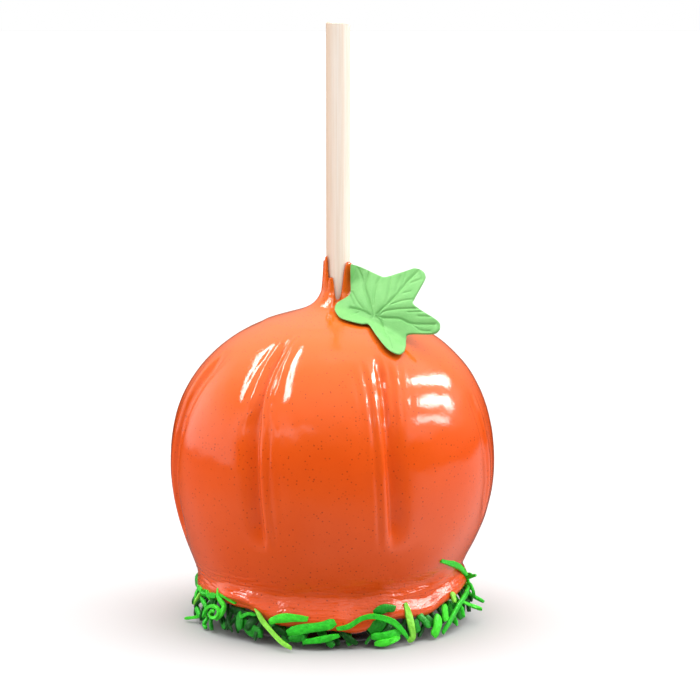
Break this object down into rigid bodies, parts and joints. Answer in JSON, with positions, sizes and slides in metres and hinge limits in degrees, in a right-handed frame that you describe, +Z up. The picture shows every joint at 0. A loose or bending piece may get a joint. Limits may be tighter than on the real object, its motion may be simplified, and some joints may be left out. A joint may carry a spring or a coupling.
{
  "type": "caramel apple",
  "caption": "Candy-coated apple on a round wooden stick, pressed into ribs like a pumpkin, with a sugar-paste leaf and shredded coconut at its foot.",
  "frame": {"origin": "centre of the coated apple's flat base, on the surface that it stands on", "axes": "+Z up along the stick; the leaf's side faces -Y, as in the picture"},
  "size_m": [0.0866, 0.0867, 0.158],
  "materials": {
    "coating": "glossy orange candy coating with green shredded coconut at its foot",
    "wood": "pale sanded dowel",
    "sugar_paste": "matte pale green sugar paste"
  },
  "bodies": {
    "root": {"coated_apple": "coating", "stick": "wood", "leaf": "sugar_paste"}
  },
  "joints": []
}
